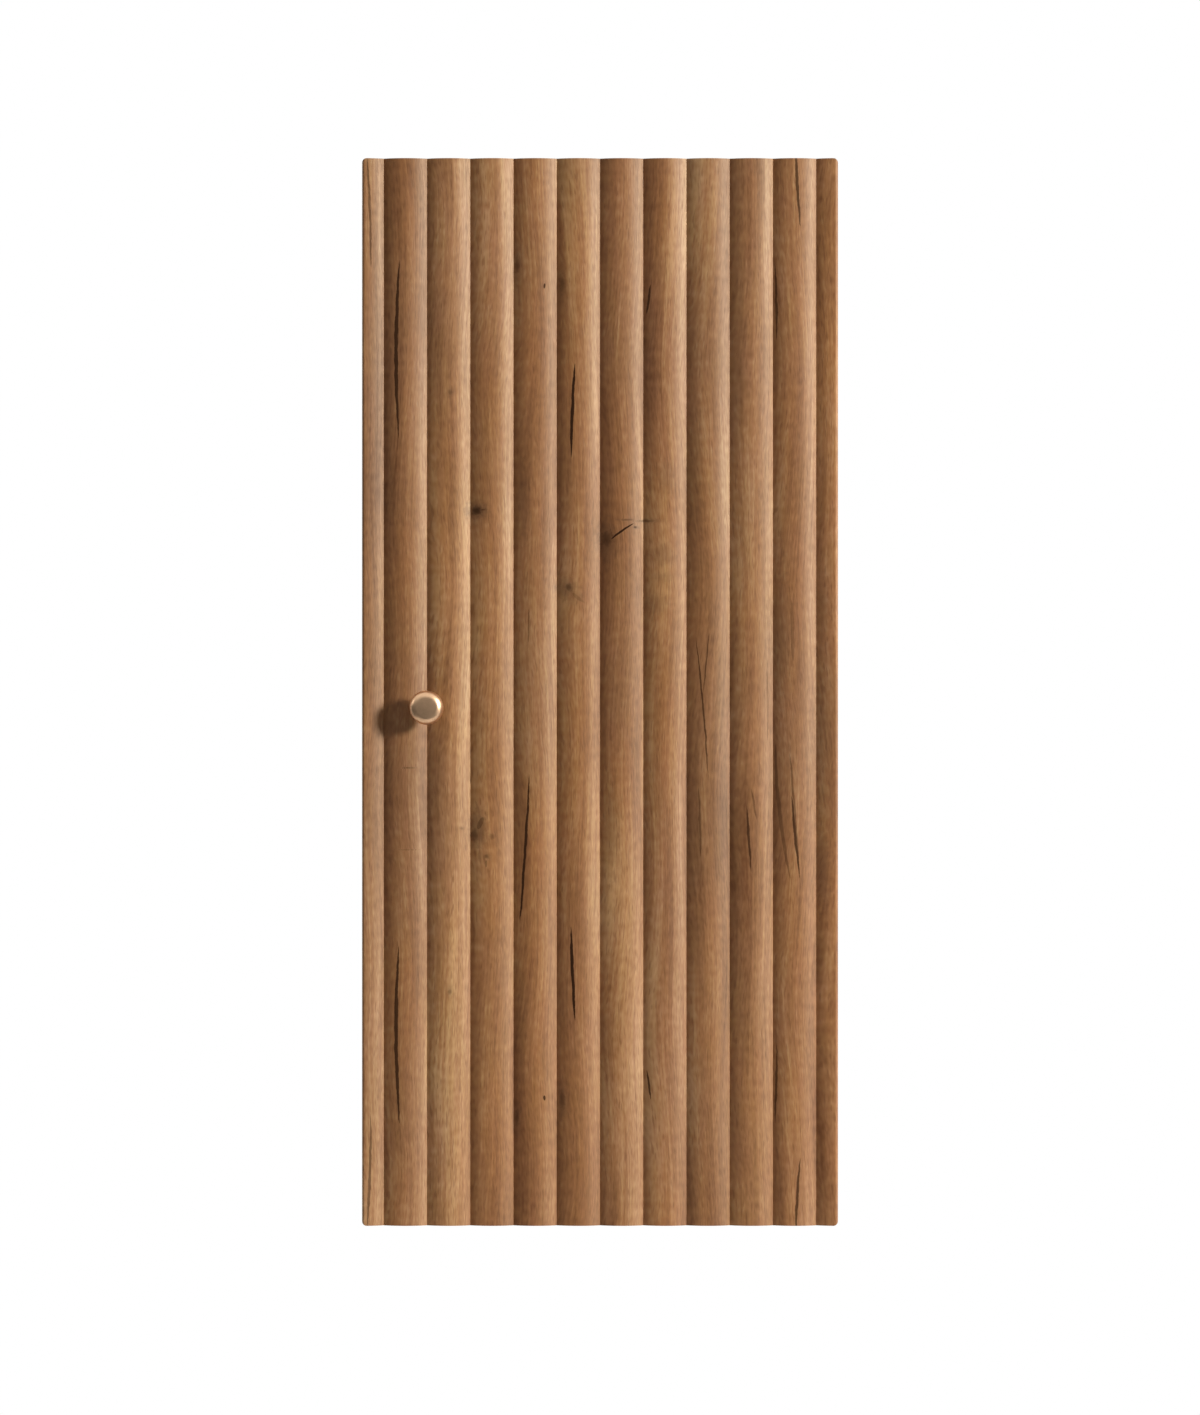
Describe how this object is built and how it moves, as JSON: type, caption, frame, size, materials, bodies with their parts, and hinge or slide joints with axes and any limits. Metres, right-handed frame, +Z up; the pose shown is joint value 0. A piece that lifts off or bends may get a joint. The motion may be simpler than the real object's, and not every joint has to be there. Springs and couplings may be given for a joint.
{
  "type": "wall cabinet",
  "caption": "tall narrow wall cabinet with one reeded oak door, a small brass knob, adjustable shelves, concealed hinges and a hidden steel wall rail",
  "frame": {"origin": "centre of the wall rail's rear face, on the wall", "axes": "+Z up, +Y into the wall, +X to the right when facing the door"},
  "size_m": [0.35, 0.3433, 0.785],
  "materials": {
    "reeded_oak": "satin",
    "oak_board": "satin",
    "brass": "brushed",
    "nickel": "satin",
    "screw_steel": "satin",
    "zinc_steel": "satin",
    "grey_plastic": "matte",
    "bumper": "matte",
    "beech": "matte"
  },
  "bodies": {
    "wall_mount": {"wall_rail": "zinc_steel", "left_hanger_hook": "zinc_steel", "right_hanger_hook": "zinc_steel"},
    "cabinet": {"left_side_panel": "oak_board", "right_side_panel": "oak_board", "top_panel": "oak_board", "bottom_panel": "oak_board", "back_panel": "oak_board", "upper_shelf": "oak_board", "lower_shelf": "oak_board", "top_left_front_dowel": "beech", "top_left_rear_dowel": "beech", "top_right_front_dowel": "beech", "top_right_rear_dowel": "beech", "bottom_left_front_dowel": "beech", "bottom_left_rear_dowel": "beech", "bottom_right_front_dowel": "beech", "bottom_right_rear_dowel": "beech", "upper_shelf_pin_front_left": "nickel", "upper_shelf_pin_rear_left": "nickel", "upper_shelf_pin_front_right": "nickel", "upper_shelf_pin_rear_right": "nickel", "lower_shelf_pin_front_left": "nickel", "lower_shelf_pin_rear_left": "nickel", "lower_shelf_pin_front_right": "nickel", "lower_shelf_pin_rear_right": "nickel", "left_hanger_housing": "grey_plastic", "right_hanger_housing": "grey_plastic", "left_hanger_screw": "screw_steel", "right_hanger_screw": "screw_steel", "upper_hinge_plate": "nickel", "upper_plate_screw_upper": "screw_steel", "upper_plate_screw_lower": "screw_steel", "upper_hinge_arm": "nickel", "upper_rear_rivet": "screw_steel", "upper_front_rivet": "screw_steel", "lower_hinge_plate": "nickel", "lower_plate_screw_upper": "screw_steel", "lower_plate_screw_lower": "screw_steel", "lower_hinge_arm": "nickel", "lower_rear_rivet": "screw_steel", "lower_front_rivet": "screw_steel"},
    "inner_links": {"upper_inner_link": "nickel", "lower_inner_link": "nickel"},
    "outer_links": {"upper_outer_link": "nickel", "lower_outer_link": "nickel"},
    "door": {"door_panel": "reeded_oak", "knob": "brass", "knob_screw": "screw_steel", "upper_bumper": "bumper", "lower_bumper": "bumper", "upper_hinge_cup": "nickel", "upper_cup_pin": "screw_steel", "upper_cup_screw_upper": "screw_steel", "upper_cup_screw_lower": "screw_steel", "lower_hinge_cup": "nickel", "lower_cup_pin": "screw_steel", "lower_cup_screw_upper": "screw_steel", "lower_cup_screw_lower": "screw_steel"}
  },
  "joints": [
    {"name": "height_adjustment", "type": "slide", "parent": "wall_mount", "child": "cabinet", "axis": [0, 0, 1], "range_m": [-0.006, 0.006]},
    {"name": "inner_link_swing", "type": "hinge", "parent": "cabinet", "child": "inner_links", "pos_m": [0.1385, -0.2841, -0.3325], "axis": [0, 0, 1], "range_deg": [-22.8, 0]},
    {"name": "outer_link_swing", "type": "hinge", "parent": "cabinet", "child": "outer_links", "pos_m": [0.1364, -0.3081, -0.3325], "axis": [0, 0, 1], "range_deg": [-25.65, 0]},
    {"name": "door_swing", "type": "hinge", "parent": "inner_links", "child": "door", "pos_m": [0.1647, -0.3058, -0.3325], "axis": [0, 0, 1], "range_deg": [0, 117.8]}
  ],
  "couplings": [
    {"joint": "inner_link_swing", "follows": "door_swing", "ratio": -0.19355},
    {"joint": "outer_link_swing", "follows": "door_swing", "ratio": -0.21774}
  ]
}
